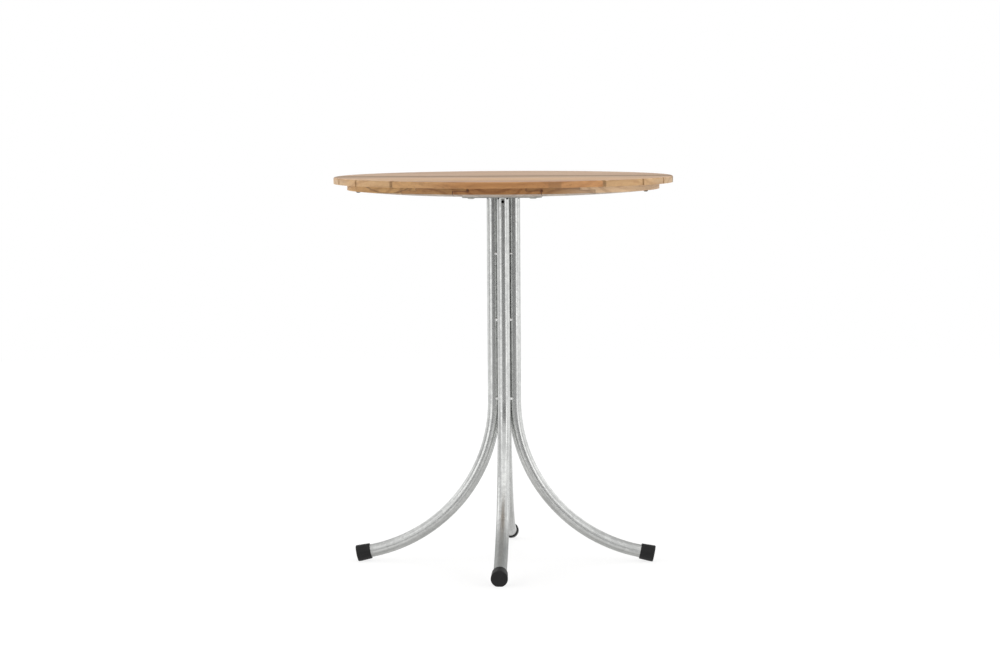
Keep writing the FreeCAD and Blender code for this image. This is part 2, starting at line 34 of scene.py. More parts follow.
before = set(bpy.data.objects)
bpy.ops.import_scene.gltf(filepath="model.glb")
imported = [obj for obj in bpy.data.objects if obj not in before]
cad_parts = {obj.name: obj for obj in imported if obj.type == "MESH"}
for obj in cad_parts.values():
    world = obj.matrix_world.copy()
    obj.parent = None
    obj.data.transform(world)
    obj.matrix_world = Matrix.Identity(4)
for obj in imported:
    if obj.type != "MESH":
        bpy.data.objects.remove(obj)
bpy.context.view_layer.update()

# The round top, and the boards and the plate below it. The boards are thinner at their rim.
TABLE_HEIGHT = 0.746
TOP_RADIUS = 0.325
SLAT_COUNT = 9
SLAT_WIDTH = 0.070
SLAT_GAP = 0.0042
SLAT_PITCH = SLAT_WIDTH + SLAT_GAP
SLAT_THICKNESS = 0.012
BOARD_SETBACK = 0.026
BOARD_RADIUS = TOP_RADIUS - BOARD_SETBACK
BOARD_THICKNESS = 0.022
BOARD_RIM = 0.012
PLATE_THICKNESS = 0.005
SLAT_UNDERSIDE = TABLE_HEIGHT - SLAT_THICKNESS
RIM_UNDERSIDE = SLAT_UNDERSIDE - BOARD_RIM
PLATE_UNDERSIDE = SLAT_UNDERSIDE - BOARD_THICKNESS - PLATE_THICKNESS

# The laps between the boards, by their distance from the table's middle. The depth is of the upper lip.
LAP_WIDTH = 0.028
LAP_DEPTH = 0.006
INNER_LAP = 0.067
OUTER_LAP = 0.164
LAP_STEP = SLAT_UNDERSIDE - LAP_DEPTH

# The screws, which point up. The ring of those at the slats' ends is set in from the boards' rim.
SCREW_INSET = 0.017
SCREW_RING = BOARD_RADIUS - SCREW_INSET
SCREW_SINK = 0.003
SCREW_BITE = 0.009
PLATE_SCREW_REACH = 0.059

# The four legs.
QUARTERS = (("right", 0), ("back", 90), ("left", 180), ("front", 270))
TUBE_RADIUS = 0.0125
COLUMN_RADIUS = 0.0197
BEND_RADIUS = 0.298
BEND_ANGLE = math.radians(78.5)
BEND_START = 0.3125
FOOT_STRAIGHT = 0.0272

# Each under-board, where it lies, and the lightest and darkest colour of its wood.
BOARDS = (
    ("under_board_left", -0.239, (226, 181, 118), (178, 128, 72)),
    ("under_board_left_inner", -0.1155, (204, 156, 98), (156, 103, 54)),
    ("under_board_middle", 0.0, (206, 152, 94), (158, 99, 51)),
    ("under_board_right_inner", 0.1155, (196, 148, 94), (152, 101, 55)),
    # The right board's wood is pale, and made paler still as painted light from the right side.
    ("under_board_right", 0.239, (244, 212, 172), (220, 180, 138)),
)
SLAT_COLOURS = ((222, 182, 130), (184, 136, 86))
FRONT_SLAT_COLOURS = ((218, 161, 101), (168, 109, 57))
FRONT_SLAT = 1
MIDDLE_SLAT = 5
MIDDLE_SLAT_TONE = -0.47
# What light and weather bleach the top towards, which also serves as a painted whitish sheen. Two slats
# turn paler than the rest, and one darker.
BLEACH_AND_SHEEN = (206, 187, 180)
SLAT_BLEACH_AND_SHEEN = {2: (250, 213, 178), 3: (250, 213, 178), MIDDLE_SLAT: (180, 148, 119)}
# The boards have higher numbers than the slats. The two on the right change colour towards one side, from
# one place to another across the board, by this share and to this colour.
LEFT_BOARD = 11
SIDE_TONES = {
    LEFT_BOARD + 3: (-0.03, 0.06, 0.55, (216, 188, 156)),
    LEFT_BOARD + 4: (-0.01, 0.045, 0.6, (178, 144, 110)),
}
# A dark circle round a line along the grain, which shows as a curved line on the left board: its middle,
# height and radius.
DARK_RING = (-0.206, 0.8024, 0.081)
# Dark spots in two of the laps, across the boards and up, and a darker patch on the front slat's rim.
LAP_SPOTS = ((LAP_WIDTH / 2 - INNER_LAP, LAP_STEP + 0.001), (LAP_WIDTH / 2 + INNER_LAP, LAP_STEP))
RIM_PATCH = 0.106

# The photograph's camera, with the table's small turn in the photograph.
IMAGE_WIDTH = 1000
SENSOR_WIDTH = 36.0
FOCAL_PIXELS = 2836.4
CAMERA_DISTANCE = 5.444
CAMERA_HEIGHT = 0.9225
CAMERA_TURN = math.radians(2.32)
CAMERA_YAW = math.radians(-0.084)
CAMERA_PITCH = math.radians(5.034)
CAMERA_ROLL = math.radians(-0.34)

# The studio.
LAMP_AIM = (0.0, 0.0, 0.5)
SKY_LEVEL = 0.34
WHITE = (1.0, 1.0, 1.0, 1.0)


def srgb(red, green, blue):
    """A colour written as it looks on a screen, 0 to 255, as the linear values that nodes take."""
    linear = []
    for part in (red, green, blue):
        share = part / 255
        linear.append(share / 12.92 if share <= 0.04045 else ((share + 0.055) / 1.055) ** 2.4)
    return (*linear, 1.0)


class Graph:
    """The node tree of a material or of the world, with one short call for each kind of node."""

    def __init__(self, tree):
        self.tree = tree
        tree.nodes.clear()

    def add(self, kind, values=None, **settings):
        node = self.tree.nodes.new(kind)
        for name, value in settings.items():
            setattr(node, name, value)
        for name, value in (values or {}).items():
            self.feed(node.inputs[name], value)
        return node

    def feed(self, socket, value):
        if isinstance(value, bpy.types.NodeSocket):
            self.tree.links.new(value, socket)
        else:
            socket.default_value = value

    def place(self, vector, shift=(0, 0, 0), turn=(0, 0, 0), scale=(1, 1, 1)):
        values = {"Vector": vector, "Location": shift, "Rotation": turn, "Scale": scale}
        return self.add("ShaderNodeMapping", values).outputs["Vector"]

    def noise(self, vector, scale=1.0, detail=2.0, roughness=0.5):
        values = {"Vector": vector, "Scale": scale, "Detail": detail, "Roughness": roughness}
        return self.add("ShaderNodeTexNoise", values).outputs["Fac"]

    def math(self, operation, first, second=0.0, clamp=False):
        node = self.add("ShaderNodeMath", operation=operation, use_clamp=clamp)
        self.feed(node.inputs[0], first)
        self.feed(node.inputs[1], second)
        return node.outputs[0]

    def total(self, *terms):
        """The sum of (value, weight) pairs."""
        result = None
        for value, weight in terms:
            part = self.math("MULTIPLY", value, weight)
            result = part if result is None else self.math("ADD", result, part)
        return result

    def length(self, first, second):
        """The length of the line that these two run along and across."""
        squares = self.total((self.math("MULTIPLY", first, first), 1.0),
                             (self.math("MULTIPLY", second, second), 1.0))
        return self.math("SQRT", squares)

    def apart(self, first, second):
        """How far apart two values are."""
        return self.math("ABSOLUTE", self.math("SUBTRACT", first, second))

    def from_line(self, place, across, height):
        """How far a place is from a line along the grain, given where that lies across and up."""
        return self.length(self.math("SUBTRACT", place["Y"], across),
                           self.math("SUBTRACT", place["Z"], height))

    def spread(self, value, low=0.0, high=1.0):
        """Noise, which seldom leaves the middle of its range, spread out from low to high."""
        return self.remap(value, 0.3, 0.7, low, high)

    def remap(self, value, low, high, to_low=0.0, to_high=1.0, smooth=False):
        values = {"Value": value, "From Min": low, "From Max": high, "To Min": to_low,
                  "To Max": to_high}
        kind = "SMOOTHSTEP" if smooth else "LINEAR"
        return self.add("ShaderNodeMapRange", values, interpolation_type=kind).outputs["Result"]

    def mix(self, share, first, second):
        """The first colour, with this share of the second one."""
        node = self.add("ShaderNodeMix", data_type="RGBA")
        for number, value in ((0, share), (6, first), (7, second)):
            self.feed(node.inputs[number], value)
        return node.outputs[2]

    def split(self, vector):
        return self.add("ShaderNodeSeparateXYZ", {"Vector": vector}).outputs

    def edge(self, radius):
        """0 on open surfaces, rising towards 1 at corners that are sharper than this radius."""
        rounded = self.add("ShaderNodeBevel", {"Radius": radius}, samples=4).outputs["Normal"]
        true = self.add("ShaderNodeNewGeometry").outputs["Normal"]
        dot = self.add("ShaderNodeVectorMath", operation="DOT_PRODUCT")
        self.feed(dot.inputs[0], rounded)
        self.feed(dot.inputs[1], true)
        return self.remap(dot.outputs["Value"], 0.98, 0.75)

    def bump(self, height, strength, distance):
        values = {"Height": height, "Strength": strength, "Distance": distance}
        return self.add("ShaderNodeBump", values).outputs["Normal"]


def new_material(name):
    """An empty material and its graph."""
    material = bpy.data.materials.new(name)
    material.use_nodes = True
    return material, Graph(material.node_tree)


def close_material(graph, values):
    """The main shader with these inputs, and the output."""
    shader = graph.add("ShaderNodeBsdfPrincipled", values)
    graph.add("ShaderNodeOutputMaterial", {"Surface": shader.outputs["BSDF"]})


def grained(graph, local, along, across, detail, roughness=0.5):
    """Noise drawn out along the grain, given its scale along and across it."""
    stretched = graph.place(local, scale=(along, across, across))
    return graph.noise(stretched, detail=detail, roughness=roughness)


def growth_rings(graph, number, middle, along, local):
    """A wave across the growth rings, which are a little out of line with the grain, round a pith above
    one board and below the next."""
    pith = math.copysign(0.085 + 0.03 * math.cos(3.7 * number), math.cos(math.pi * number))
    aside = 0.024 * math.sin(5.1 * number)
    slant = 9.0 * math.sin(1.3 * number)
    bend = grained(graph, local, 2.0, 11, detail=3)
    reach = graph.from_line(along, middle + aside, SLAT_UNDERSIDE - pith)
    return graph.math("SINE", graph.total((reach, 430.0), (along["X"], slant), (bend, 7.0)))


def front_slat_marks(graph, colour, along, facing):
    """The front slat's paler left end, and the darker patch on its rim."""
    left_end = graph.remap(along["X"], -0.05, -0.17, 0.0, 0.3, smooth=True)
    colour = graph.mix(left_end, colour, srgb(216, 184, 126))
    aside = graph.apart(along["X"], RIM_PATCH)
    patch = graph.math("MULTIPLY", graph.remap(aside, 0.009, 0.014, 0.4, 0.0, smooth=True),
                       graph.remap(facing["Z"], 0.3, 0.7, 1.0, 0.0))
    return graph.mix(patch, colour, srgb(118, 82, 48))


def dark_ring_line(graph, along, streak):
    """Where the dark circle shows, a little uneven."""
    middle, height, radius = DARK_RING
    uneven = 0.004
    reach = graph.total((graph.from_line(along, middle, height), 1.0), (streak, uneven))
    away = graph.apart(reach, radius + uneven / 2)
    return graph.remap(away, 0.0004, 0.0024, 0.55, 0.0, smooth=True)


def wood(name, number, middle, along_y, light, dark):
    """Oiled hardwood with its grain along a board, each number with its own piece of the log. middle
    is where the board lies across its grain."""
    material, graph = new_material(name)
    coordinates = graph.add("ShaderNodeTexCoord").outputs
    turn = (0, 0, math.radians(90) if along_y else 0)
    grain = graph.place(coordinates["Object"], turn=turn)
    facing = graph.split(graph.place(coordinates["Normal"], turn=turn))
    shift = (1.7 * number, 0.31 * math.sin(2.4 * number), 0.6 * math.cos(1.9 * number))
    local = graph.place(grain, shift=shift)
    along = graph.split(grain)

    wave = growth_rings(graph, number, middle, along, local)
    ring = graph.remap(wave, -0.2, 1.0, smooth=True)
    broad = grained(graph, local, 1.8, 13, detail=3)
    streak = grained(graph, local, 1.6, 55, detail=3, roughness=0.55)
    vein = grained(graph, local, 3.5, 180, detail=3, roughness=0.6)
    fibre = grained(graph, local, 9, 420, detail=4, roughness=0.65)
    pores = graph.remap(grained(graph, local, 26, 1100, detail=2), 0.62, 0.74)

    # The figure is calmer on the rim than above and below.
    share = graph.total((ring, 0.42), (graph.spread(streak), 0.34), (graph.spread(vein), 0.42),
                        (graph.spread(fibre), 0.26), (graph.spread(broad), 0.3))
    level = graph.remap(graph.math("ABSOLUTE", facing["Z"]), 0.3, 0.7, 0.5, 1.0)
    strong = graph.math("SUBTRACT", graph.remap(share, 0.34, 1.3), 0.5)
    figure = graph.math("ADD", graph.math("MULTIPLY", strong, level), 0.5)
    colour = graph.mix(figure, light, dark)
    if number == FRONT_SLAT:
        colour = front_slat_marks(graph, colour, along, facing)
    if number in SIDE_TONES:
        first, last, most, side_colour = SIDE_TONES[number]
        side = graph.remap(along["Y"], middle + first, middle + last, 0.0, most, smooth=True)
        colour = graph.mix(side, colour, srgb(*side_colour))
    colour = graph.mix(graph.math("MULTIPLY", pores, 0.42), colour, srgb(112, 70, 40))

    # Long sides have thin dark veins. Sawn ends show the rings as dark lines, and those of the slats have
    # turned a little grey.
    endwise = graph.math("ABSOLUTE", facing["X"])
    end = graph.remap(endwise, 0.35, 0.9, smooth=True)
    veins = graph.math("MULTIPLY", graph.remap(vein, 0.55, 0.64, 0.0, 0.36, smooth=True),
                       graph.math("SUBTRACT", level, end, clamp=True))
    colour = graph.mix(veins, colour, srgb(128, 84, 48))
    if not along_y:
        weathered = graph.remap(endwise, 0.78, 0.97, 0.0, 0.45, smooth=True)
        colour = graph.mix(weathered, colour, srgb(184, 165, 138))
    ring_depth = 0.26 if along_y else 0.12
    lines = graph.math("MULTIPLY", end, graph.remap(wave, 0.1, 1.0, 0.0, ring_depth, smooth=True))
    colour = graph.mix(lines, colour, srgb(124, 78, 42))
    if number == LEFT_BOARD:
        colour = graph.mix(dark_ring_line(graph, along, streak), colour, srgb(104, 66, 28))

    # The top is bleached by light and weather and paler still with a painted whitish sheen, and the
    # underside is left raw.
    up = graph.remap(facing["Z"], 0.6, 0.95, 0.0, 0.36, smooth=True)
    bleach_and_sheen = graph.math("MULTIPLY", up, graph.spread(vein, 1.25, 0.7))
    colour = graph.mix(bleach_and_sheen, colour, srgb(*SLAT_BLEACH_AND_SHEEN.get(number, BLEACH_AND_SHEEN)))
    down = graph.remap(facing["Z"], -0.5, -0.95, 0.0, 0.8, smooth=True)
    colour = graph.mix(down, colour, graph.mix(figure, srgb(204, 195, 182), srgb(162, 151, 138)))

    # The edges are rubbed pale. The joints between boards are dark, and the walls of the gaps between slats
    # get painted shade.
    worn = graph.math("MULTIPLY", graph.edge(0.0012), graph.remap(streak, 0.35, 0.65, 0.1, 0.45))
    colour = graph.mix(worn, colour, srgb(226, 192, 150))
    joints_and_gap_shade = lap_lines(graph, along) if along_y else gap_wall_shade(graph, along)
    colour = graph.mix(joints_and_gap_shade, colour, srgb(98, 52, 20))
    rough = graph.spread(fibre, 0.46, 0.62)
    height = graph.total((fibre, 1.0), (pores, -0.8), (streak, 0.6))
    normal = graph.bump(height, 0.3, 0.0006)
    close_material(graph, {"Base Color": colour, "Roughness": rough, "Normal": normal})
    return material


def gap_wall_shade(graph, along):
    """Painted shade on a slat's wall where it ends at an open gap, wherever the slat lies."""
    steps = graph.math("DIVIDE", along["Y"], SLAT_PITCH)
    aside = graph.apart(steps, graph.math("ROUND", steps))
    edge = SLAT_WIDTH / 2 / SLAT_PITCH
    return graph.remap(aside, edge - 0.016, edge - 0.004, 0.0, 0.2)


def lap_lines(graph, along):
    """Thin dark lines along the stepped laps between the under-boards, and the dark spots in two laps."""
    aside = graph.math("ABSOLUTE", along["Y"])
    low = graph.math("LESS_THAN", along["Z"], LAP_STEP)
    level = graph.apart(along["Z"], LAP_STEP)
    lines = None
    for joints_and_gap_shade, depth in ((INNER_LAP, 0.75), (OUTER_LAP, 0.3)):
        edge = graph.remap(low, 0.0, 1.0, joints_and_gap_shade - LAP_WIDTH / 2, joints_and_gap_shade + LAP_WIDTH / 2)
        upright = graph.remap(graph.apart(aside, edge), 0.0005, 0.0012, depth, 0.0)
        inside = graph.apart(aside, joints_and_gap_shade)
        ledge = graph.math("MULTIPLY", graph.remap(level, 0.0004, 0.001, depth, 0.0),
                           graph.math("LESS_THAN", inside, LAP_WIDTH / 2))
        line = graph.math("MAXIMUM", upright, ledge)
        lines = line if lines is None else graph.math("MAXIMUM", lines, line)
    for across, height in LAP_SPOTS:
        reach = graph.from_line(along, across, height)
        spot = graph.remap(reach, 0.0012, 0.0046, 0.95, 0.0, smooth=True)
        lines = graph.math("MAXIMUM", lines, spot)
    return lines


def tube_place(graph, place):
    """Where a point of a leg lies: aside in the tube, out from the middle of its bend, and along it."""
    x = graph.math("ABSOLUTE", place["X"])
    y = graph.math("ABSOLUTE", place["Y"])
    side = graph.math("SIGN", graph.math("MULTIPLY", place["X"], place["Y"]))
    aside = graph.math("MULTIPLY", graph.math("MINIMUM", x, y), side)
    outward = graph.math("SUBTRACT", graph.math("MAXIMUM", x, y), COLUMN_RADIUS)
    drop = graph.math("MINIMUM", graph.math("SUBTRACT", place["Z"], BEND_START), 0.0)
    reach = graph.length(graph.math("SUBTRACT", outward, BEND_RADIUS), drop)
    along = graph.math("SUBTRACT", place["Z"], outward)
    return graph.add("ShaderNodeCombineXYZ", {"X": aside, "Y": reach, "Z": along}).outputs["Vector"]


def tube_inside_shade(graph, place, tube):
    """1 on the inner walls of the upright tubes, where painted shade shows dark through the vents."""
    inner_wall = 0.0108
    outer_wall = 0.0118
    clear_of_bend = 0.035
    tube_steps = graph.split(tube)
    reach = graph.length(tube_steps["X"], graph.math("SUBTRACT", tube_steps["Y"], BEND_RADIUS))
    above = graph.math("GREATER_THAN", place["Z"], BEND_START + clear_of_bend)
    return graph.math("MULTIPLY", graph.remap(reach, inner_wall, outer_wall, 1.0, 0.0), above)


def zinc(name, smoothest=0.2, foot_dullness_and_shade=0.1, darkening=0.0):
    """Hot-dip zinc: faint crystals, soft patches, drawn lines along the tubes and fine pimples,
    darker below with painted shade, and dull, rough and partly shade-darkened at the foot."""
    material, graph = new_material(name)
    coordinates = graph.add("ShaderNodeTexCoord").outputs
    local = coordinates["Object"]
    place = graph.split(local)
    tube = tube_place(graph, place)
    low = graph.remap(place["Z"], 0.3, 0.12, smooth=True)
    foot = graph.remap(place["Z"], 0.11, 0.055, smooth=True)

    # The lines are stronger low down.
    cells = graph.add("ShaderNodeTexVoronoi", {"Vector": local, "Scale": 170.0, "Randomness": 1.0})
    crystal = graph.split(cells.outputs["Color"])["X"]
    cloud = graph.noise(graph.place(local, scale=(1, 1, 0.4)), scale=30, detail=4, roughness=0.6)
    fine = graph.noise(local, scale=600, detail=3)
    drawn = graph.noise(graph.place(tube, scale=(900, 900, 14)), detail=2)
    run = graph.noise(graph.place(tube, scale=(330, 330, 5)), detail=3, roughness=0.6)
    lines = graph.math("MULTIPLY", graph.spread(run, -1.0, 1.0), graph.remap(low, 0.0, 1.0, 1.0, 2.4))
    share = graph.total((crystal, 0.3), (cloud, 0.6), (drawn, 0.2), (lines, 0.14))
    colour = graph.mix(graph.remap(share, 0.25, 0.85), srgb(184, 185, 184), srgb(217, 218, 216))

    # A darker tone where asked, rubbed edges, painted shade on the undersides low on the legs, a dull foot
    # that is partly painted shade, and painted shade inside the tubes.
    colour = graph.mix(darkening, colour, srgb(140, 138, 132))
    worn = graph.edge(0.0008)
    colour = graph.mix(graph.math("MULTIPLY", worn, 0.4), colour, srgb(226, 226, 224))
    # Painted shade: the undersides low on the legs are darkened, standing for the shaded floor that they
    # mirror.
    down = graph.remap(graph.split(coordinates["Normal"])["Z"], 0.1, -0.5, 0.0, 0.42, smooth=True)
    colour = graph.mix(graph.math("MULTIPLY", low, down), colour, srgb(120, 120, 116))
    # The foot is dull, and darker there partly as painted shade, standing for the shaded underside of the
    # table that it mirrors.
    colour = graph.mix(graph.math("MULTIPLY", foot, foot_dullness_and_shade), colour, srgb(150, 152, 151))
    # Painted shade inside the upright tubes.
    colour = graph.mix(tube_inside_shade(graph, place, tube), colour, srgb(10, 10, 10))
    rough = graph.total((graph.remap(share, 0.25, 0.85, smoothest + 0.1, smoothest), 1.0),
                        (low, 0.04), (foot, 0.5 * foot_dullness_and_shade))
    height = graph.total((cloud, 0.5), (fine, 0.06), (drawn, 0.15), (lines, 0.2))
    normal = graph.bump(height, 0.12, 0.0006)
    close_material(graph, {"Base Color": colour, "Metallic": 1.0, "Roughness": rough, "Normal": normal})
    return material


def weld_metal(name):
    """Weld beads under the zinc: rougher than the tubes, with patches of bright and dull."""
    material, graph = new_material(name)
    local = graph.add("ShaderNodeTexCoord").outputs["Object"]
    cloud = graph.noise(local, scale=260, detail=4, roughness=0.6)
    fine = graph.noise(local, scale=1500, detail=3)
    colour = graph.mix(graph.remap(cloud, 0.35, 0.7), srgb(206, 207, 206), srgb(238, 238, 237))
    rough = graph.spread(fine, 0.36, 0.5)
    normal = graph.bump(graph.total((cloud, 0.6), (fine, 0.4)), 0.3, 0.0005)
    close_material(graph, {"Base Color": colour, "Metallic": 0.85, "Roughness": rough, "Normal": normal})
    return material


def screw_steel(name, low, high):
    """The metal of screws, with soft patches and a fine texture, rubbed bare at the edges."""
    material, graph = new_material(name)
    local = graph.add("ShaderNodeTexCoord").outputs["Object"]
    fine = graph.noise(local, scale=900, detail=3)
    patch = graph.noise(local, scale=140, detail=3)
    colour = graph.mix(graph.remap(patch, 0.35, 0.7), low, high)
    colour = graph.mix(graph.math("MULTIPLY", graph.edge(0.0004), 0.5), colour, srgb(226, 226, 224))
    rough = graph.spread(fine, 0.28, 0.46)
    normal = graph.bump(fine, 0.2, 0.0003)
    close_material(graph, {"Base Color": colour, "Metallic": 1.0, "Roughness": rough, "Normal": normal})
    return material


def rubber(name):
    """Black moulded rubber, a little dusty, and scuffed grey along its edges."""
    material, graph = new_material(name)
    local = graph.add("ShaderNodeTexCoord").outputs["Object"]
    grit = graph.noise(local, scale=900, detail=4, roughness=0.65)
    dust = graph.noise(local, scale=70, detail=4)
    colour = graph.mix(graph.remap(dust, 0.45, 0.75), srgb(13, 13, 14), srgb(24, 24, 24))
    scuff = graph.math("MULTIPLY", graph.edge(0.001), graph.remap(grit, 0.4, 0.7, 0.05, 0.4))
    colour = graph.mix(scuff, colour, srgb(60, 59, 57))
    rough = graph.spread(grit, 0.5, 0.7)
    normal = graph.bump(grit, 0.25, 0.0004)
    close_material(graph, {"Base Color": colour, "Roughness": rough, "Specular IOR Level": 0.35,
                           "Normal": normal})
    return material


def dress(node, material):
    """Give a CAD node this material."""
    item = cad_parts[node]
    if not item.material_slots:
        item.data.materials.append(material)
    for slot in item.material_slots:
        slot.material = material


def new_piece(name, mesh, material, node):
    """Put a mesh into the scene in place of a CAD node, smooth apart from its sharper corners."""
    sharp = math.radians(35)
    mesh.shade_smooth()
    mesh.set_sharp_from_angle(angle=sharp)
    mesh.materials.append(material)
    item = bpy.data.objects.new(name, mesh)
    bpy.context.scene.collection.objects.link(item)
    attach(item, "root")
    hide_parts(node)


def mesh_from(build, name):
    """A mesh with the shapes that build adds to it, all faces outwards."""
    shapes = bmesh.new()
    build(shapes)
    bmesh.ops.recalc_face_normals(shapes, faces=shapes.faces)
    mesh = bpy.data.meshes.new(name)
    shapes.to_mesh(mesh)
    shapes.free()
    return mesh


def skin(shapes, rings):
    """Join rings of points, all of one length, into a closed skin. A ring of one point is a tip."""
    rows = [[shapes.verts.new(point) for point in ring] for ring in rings]
    for low, high in zip(rows, rows[1:]):
        count = max(len(low), len(high))
        for index in range(count):
            follow = (index + 1) % count
            corners = [low[index % len(low)], low[follow % len(low)],
                       high[follow % len(high)], high[index % len(high)]]
            shapes.faces.new(list(dict.fromkeys(corners)))
    for row in (rows[0], rows[-1]):
        if len(row) > 2:
            shapes.faces.new(row)


def circle(radius, height, centre, lobe=0.0):
    """A level ring of points, with six lobes where a driver bit fits."""
    sides = 48
    lobes = 6
    ring = []
    for step in range(sides):
        angle = 2 * math.pi * step / sides
        reach = radius * (1 + lobe * math.cos(lobes * angle))
        x = centre[0] + reach * math.cos(angle)
        y = centre[1] + reach * math.sin(angle)
        ring.append(Vector((x, y, height)))
    return ring


def add_screw(shapes, place, seat, head, height, shank, length):
    """A round-head screw that points up, with a six-lobed recess in its head."""
    crown = seat - height
    tip = seat + length
    # From the floor of the recess over the dome to the seat: how far out, as a share of half the head,
    # how far from the crown, as a share of its height, and how deep the lobes are.
    recess_depth = 0.55
    profile = (
        (0.40, recess_depth, 0.14), (0.44, 0.04, 0.14), (0.50, 0.0, 0.06), (0.62, 0.03, 0.0),
        (0.78, 0.14, 0.0), (0.91, 0.34, 0.0), (0.98, 0.58, 0.0), (1.0, 0.8, 0.0), (1.0, 1.0, 0.0),
    )
    rings = [[Vector((*place, crown + (recess_depth + 0.05) * height))]]
    for out, down, lobe in profile:
        rings.append(circle(out * head / 2, crown + down * height, place, lobe=lobe))
    rings += [circle(shank / 2, level, place) for level in (seat, tip - shank)]
    rings.append([Vector((*place, tip))])
    skin(shapes, rings)


def slat_screw_points():
    """Where the slat screws stand: sunk ones, and the proud ones beside the middle slat."""
    sunk = []
    proud = []
    for number in range(SLAT_COUNT):
        steps = number - (SLAT_COUNT - 1) / 2
        across = steps * SLAT_PITCH
        if number in (0, SLAT_COUNT - 1):
            inner_edge = abs(across) - SLAT_WIDTH / 2
            across = math.copysign((inner_edge + SCREW_RING) / 2, across)
            along = INNER_LAP
        else:
            along = math.sqrt(SCREW_RING ** 2 - across ** 2)
        ends = proud if abs(steps) == 1 else sunk
        ends += [(side * along, across) for side in (1, -1)]
        if along > OUTER_LAP + LAP_WIDTH:
            sunk += [(side * OUTER_LAP, across) for side in (1, -1)]
    return sunk, proud


def screws():
    """All screws, with the recesses that the CAD screws lack. Those in the slats are darker, as painted
    shade under the top.
    """
    plated = screw_steel("plated_steel", srgb(158, 157, 152), srgb(198, 197, 192))
    # Painted shade: the screws under the top get a dark steel.
    shade_darkened = screw_steel("shade_darkened_steel", srgb(72, 66, 56), srgb(104, 98, 86))
    sunk, proud = slat_screw_points()
    reach = PLATE_SCREW_REACH
    corners = [(x, y) for x in (reach, -reach) for y in (reach, -reach)]
    slat_screw = {"seat": RIM_UNDERSIDE + SCREW_SINK, "head": 0.009, "height": 0.003, "shank": 0.004,
                  "length": BOARD_RIM - SCREW_SINK + SCREW_BITE}
    rim_screw = {"seat": RIM_UNDERSIDE, "head": 0.009, "height": 0.004, "shank": 0.004,
                 "length": BOARD_RIM + SCREW_BITE}
    plate_screw = {"seat": PLATE_UNDERSIDE, "head": 0.014, "height": 0.0025, "shank": 0.006,
                   "length": PLATE_THICKNESS + BOARD_THICKNESS + SCREW_BITE}
    sets = (
        ("slat_screw_set", "slat_screws", shade_darkened, sunk, slat_screw),
        ("rim_screw_set", "rim_screws", shade_darkened, proud, rim_screw),
        ("plate_screw_set", "plate_screws", plated, corners, plate_screw),
    )
    for name, node, material, points, sizes in sets:
        def build(shapes):
            for place in points:
                add_screw(shapes, place, **sizes)

        new_piece(name, mesh_from(build, name), material, node)


def turned(point, degrees):
    """A point that is drawn along +X, turned about the middle of the table."""
    return Matrix.Rotation(math.radians(degrees), 3, "Z") @ Vector(point)


def weld_beads(material):
    """Rippled weld beads in the corner between each tube and the plate, which they reach into a little."""
    leg = 0.003
    half_arc = 25
    half_steps = 30
    slopes = 8
    end_size = 0.25
    ripples_per_turn = 46
    ripple_depth = 0.09
    unevenness = 0.1
    overlap = 0.0002

    def bead_point(degrees, reach, height, quarter):
        turn = math.radians(degrees)
        return turned((COLUMN_RADIUS + reach * math.cos(turn), reach * math.sin(turn), height), quarter)

    def build(shapes):
        for _, quarter in QUARTERS:
            rings = []
            for step in range(2 * half_steps + 1):
                degrees = half_arc * (step / half_steps - 1)
                fade = 1 - (abs(degrees) / half_arc) ** 6
                ripple = 1 + ripple_depth * math.sin(math.radians(degrees * ripples_per_turn))
                ripple += unevenness * noise.noise((degrees / 5, quarter, 0))
                size = leg * (end_size + (1 - end_size) * fade) * ripple
                ring = []
                for number in range(slopes + 1):
                    slope = math.radians(90 * number / slopes)
                    reach = TUBE_RADIUS + size * math.sin(slope)
                    height = PLATE_UNDERSIDE - size * math.cos(slope)
                    ring.append(bead_point(degrees, reach, height, quarter))
                ring.append(bead_point(degrees, TUBE_RADIUS - overlap, PLATE_UNDERSIDE + overlap, quarter))
                rings.append(ring)
            skin(shapes, rings)

    new_piece("weld_beads", mesh_from(build, "weld_beads"), material, "plate_welds")


def spacer_welds(material):
    """Short spacer rods, each with a bead of weld metal at the front or back tube, and one bare."""
    reach = 0.0195
    half = 0.0062
    rod_radius = 0.0015
    bead_swell = 0.0018
    bead_place = 0.3
    bead_width = 0.5
    lumpiness = 0.2
    half_steps = 6
    sides = 24
    levels = {name: (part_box(f"spacers_{name}")[0][2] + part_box(f"spacers_{name}")[1][2]) / 2
              for name in ("low", "middle", "high")}
    for level, height in levels.items():
        def build(shapes):
            for label, quarter in QUARTERS:
                rings = []
                bare = level == "high" and label == "front"
                bead_end = 1 if label in ("right", "left") else -1
                for step in range(2 * half_steps + 1):
                    share = step / half_steps - 1
                    from_bead = (share * bead_end - bead_place) / bead_width
                    bead = 0.0 if bare else math.exp(-from_bead ** 2)
                    size = rod_radius + bead_swell * bead
                    ring = []
                    for side in range(sides):
                        angle = 2 * math.pi * side / sides
                        # Each rod has its own place in the noise.
                        place = Vector((math.cos(angle), share * 2.2 + quarter, math.sin(angle)))
                        place.z += height * 40
                        lump = size * (1 + lumpiness * noise.noise(place * 1.3))
                        ring.append(turned((reach + lump * math.cos(angle), half * share,
                                            height + lump * math.sin(angle)), quarter + 45))
                    rings.append(ring)
                skin(shapes, rings)

        name = f"spacer_welds_{level}"
        new_piece(name, mesh_from(build, name), material, f"spacers_{level}")


